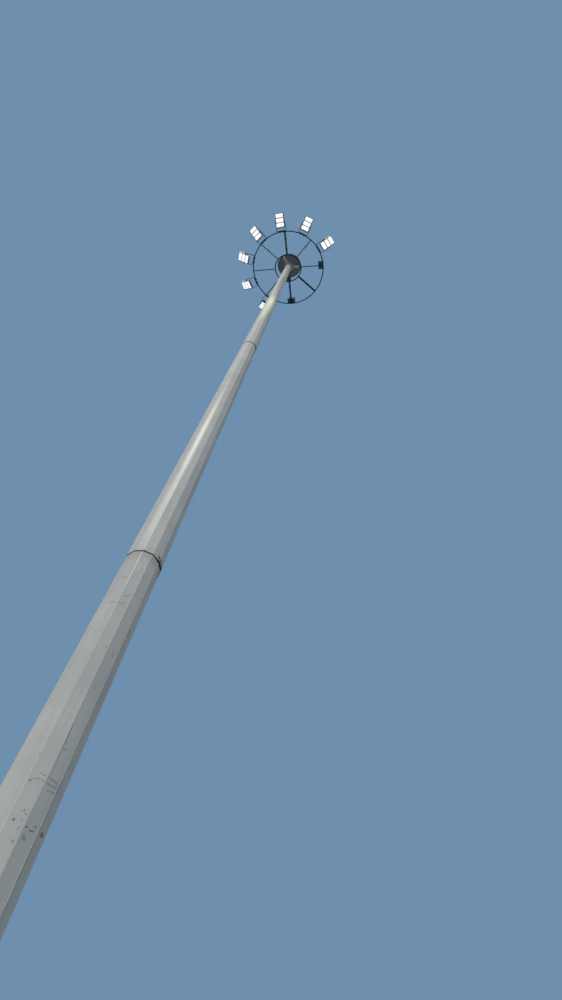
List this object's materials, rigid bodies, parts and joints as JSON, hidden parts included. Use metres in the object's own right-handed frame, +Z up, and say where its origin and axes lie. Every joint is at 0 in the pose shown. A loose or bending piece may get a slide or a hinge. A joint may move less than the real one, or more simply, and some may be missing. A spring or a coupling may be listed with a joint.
{
  "type": "high mast floodlight tower",
  "caption": "Tall tapered twelve-sided mast with a roped lowering carriage: a spoked double ring carrying tilting LED floodlights under a domed head.",
  "frame": {"origin": "centre of the base flange's underside, on the mast's axis", "axes": "+Z up the mast; the carriage splits along the Y axis; the service door faces -Y"},
  "size_m": [3.7561, 3.5956, 31.59],
  "materials": {
    "mast_steel": "weathered galvanised steel",
    "door_steel": "grey painted sheet",
    "sheave": "greased iron",
    "pin_steel": "plain steel",
    "hood_sheet": "weathered sheet",
    "rope_steel": "stainless wire rope",
    "carriage_steel": "dark weathered galvanising",
    "yoke_steel": "dark grey paint",
    "box_paint": "dark grey paint",
    "lamp_body": "dark grey powder coat",
    "led_module": "cast module with a bright lens face"
  },
  "bodies": {
    "mast": {"base_flange": "mast_steel", "base_ribs": "mast_steel", "lower_section": "mast_steel", "middle_section": "mast_steel", "upper_section": "mast_steel", "door_frame": "mast_steel", "service_door": "door_steel", "head_frame": "mast_steel", "rope_sheaves": "sheave", "sheave_pins": "pin_steel", "hood": "hood_sheet", "finial": "mast_steel", "rope_runs": "rope_steel", "rope_anchor": "mast_steel", "hoist_ropes": "rope_steel"},
    "carriage": {"outer_ring_east": "carriage_steel", "outer_ring_west": "carriage_steel", "inner_ring_east": "carriage_steel", "inner_ring_west": "carriage_steel", "spokes": "carriage_steel", "splice_plates": "carriage_steel", "cable_conduit": "carriage_steel", "rope_lugs": "carriage_steel", "junction_boxes": "box_paint", "box_lids": "box_paint", "plug_box": "box_paint", "yoke_1": "yoke_steel", "yoke_2": "yoke_steel", "yoke_3": "yoke_steel", "yoke_4": "yoke_steel", "yoke_5": "yoke_steel", "yoke_6": "yoke_steel", "yoke_7": "yoke_steel"},
    "lamp_1": {"floodlight_1": "lamp_body", "led_modules_1": "led_module"},
    "lamp_2": {"floodlight_2": "lamp_body", "led_modules_2": "led_module"},
    "lamp_3": {"floodlight_3": "lamp_body", "led_modules_3": "led_module"},
    "lamp_4": {"floodlight_4": "lamp_body", "led_modules_4": "led_module"},
    "lamp_5": {"floodlight_5": "lamp_body", "led_modules_5": "led_module"},
    "lamp_6": {"floodlight_6": "lamp_body", "led_modules_6": "led_module"},
    "lamp_7": {"floodlight_7": "lamp_body", "led_modules_7": "led_module"}
  },
  "joints": [
    {"name": "carriage_lift", "type": "slide", "parent": "mast", "child": "carriage", "axis": [0, 0, -1], "range_m": [0, 28], "deforming": ["hoist_ropes"]},
    {"name": "lamp_1_tilt", "type": "hinge", "parent": "carriage", "child": "lamp_1", "pos_m": [1.08872, -1.34446, 30], "axis": [-0.7771, -0.6293, 0], "range_deg": [-48, 27]},
    {"name": "lamp_2_tilt", "type": "hinge", "parent": "carriage", "child": "lamp_2", "pos_m": [1.65441, -0.5058, 30], "axis": [-0.2924, -0.9563, 0], "range_deg": [-45, 30]},
    {"name": "lamp_3_tilt", "type": "hinge", "parent": "carriage", "child": "lamp_3", "pos_m": [1.65441, 0.5058, 30], "axis": [0.2924, -0.9563, 0], "range_deg": [-39, 36]},
    {"name": "lamp_4_tilt", "type": "hinge", "parent": "carriage", "child": "lamp_4", "pos_m": [1.08872, 1.34446, 30], "axis": [0.7771, -0.6293, 0], "range_deg": [-35, 40]},
    {"name": "lamp_5_tilt", "type": "hinge", "parent": "carriage", "child": "lamp_5", "pos_m": [0.15078, 1.72342, 30], "axis": [0.9962, -0.0872, 0], "range_deg": [-30, 45]},
    {"name": "lamp_6_tilt", "type": "hinge", "parent": "carriage", "child": "lamp_6", "pos_m": [-0.83872, 1.51309, 30], "axis": [0.8746, 0.4848, 0], "range_deg": [-33, 42]},
    {"name": "lamp_7_tilt", "type": "hinge", "parent": "carriage", "child": "lamp_7", "pos_m": [-1.54144, 0.7854, 30], "axis": [0.454, 0.891, 0], "range_deg": [-34, 41]}
  ]
}
